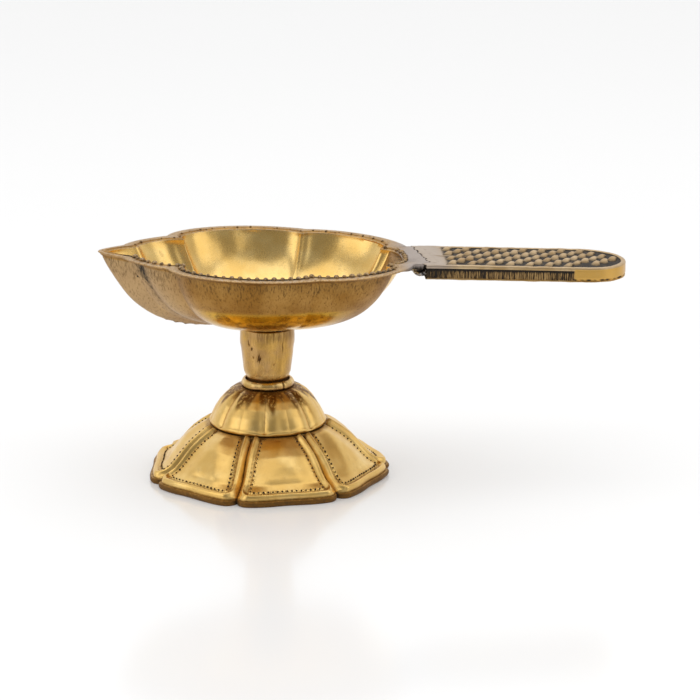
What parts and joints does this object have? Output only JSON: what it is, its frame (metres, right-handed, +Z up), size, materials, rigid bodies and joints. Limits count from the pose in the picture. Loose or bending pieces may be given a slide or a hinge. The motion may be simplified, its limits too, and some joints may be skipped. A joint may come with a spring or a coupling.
{
  "type": "diya oil lamp",
  "caption": "Hand-held brass oil lamp: a lobed bowl with a pouring spout and flat handle, on a fluted dome and petalled foot.",
  "frame": {"origin": "bottom centre of the lamp's bounding box, on the surface that it stands on", "axes": "+Z up, +X along the handle away from the bowl, so the spout points along -X"},
  "size_m": [0.1656, 0.077, 0.0728],
  "materials": {
    "bowl_brass": "polished inside, satin and lightly tarnished outside",
    "stem_brass": "satin cast brass with pits and brush marks",
    "foot_brass": "polished brass with dark patina in the grooves and dots",
    "handle_brass": "dull cast brass, near-black between the bumps, filed sides",
    "braze_metal": "grey, rough as it flowed",
    "fixing_steel": "plain zinc-grey steel"
  },
  "bodies": {
    "pedestal": {"petal_base": "foot_brass", "fluted_dome": "foot_brass", "stem_collar": "stem_brass", "clamp_washer": "fixing_steel", "hex_nut": "fixing_steel"},
    "screw": {"centre_stud": "fixing_steel"},
    "bowl": {"oil_bowl": "bowl_brass", "stem": "stem_brass", "handle": "handle_brass", "handle_braze": "braze_metal"}
  },
  "joints": [
    {"name": "screw_rise", "type": "slide", "parent": "pedestal", "child": "screw", "axis": [0, 0, 1], "range_m": [0, 0.0065]},
    {"name": "unscrew", "type": "hinge", "parent": "screw", "child": "bowl", "pos_m": [-0.03025, 0, 0.0478], "axis": [0, 0, 1], "range_deg": [0, 2340]}
  ],
  "couplings": [
    {"joint": "screw_rise", "follows": "unscrew", "m_per_rad": 0.00015915}
  ]
}
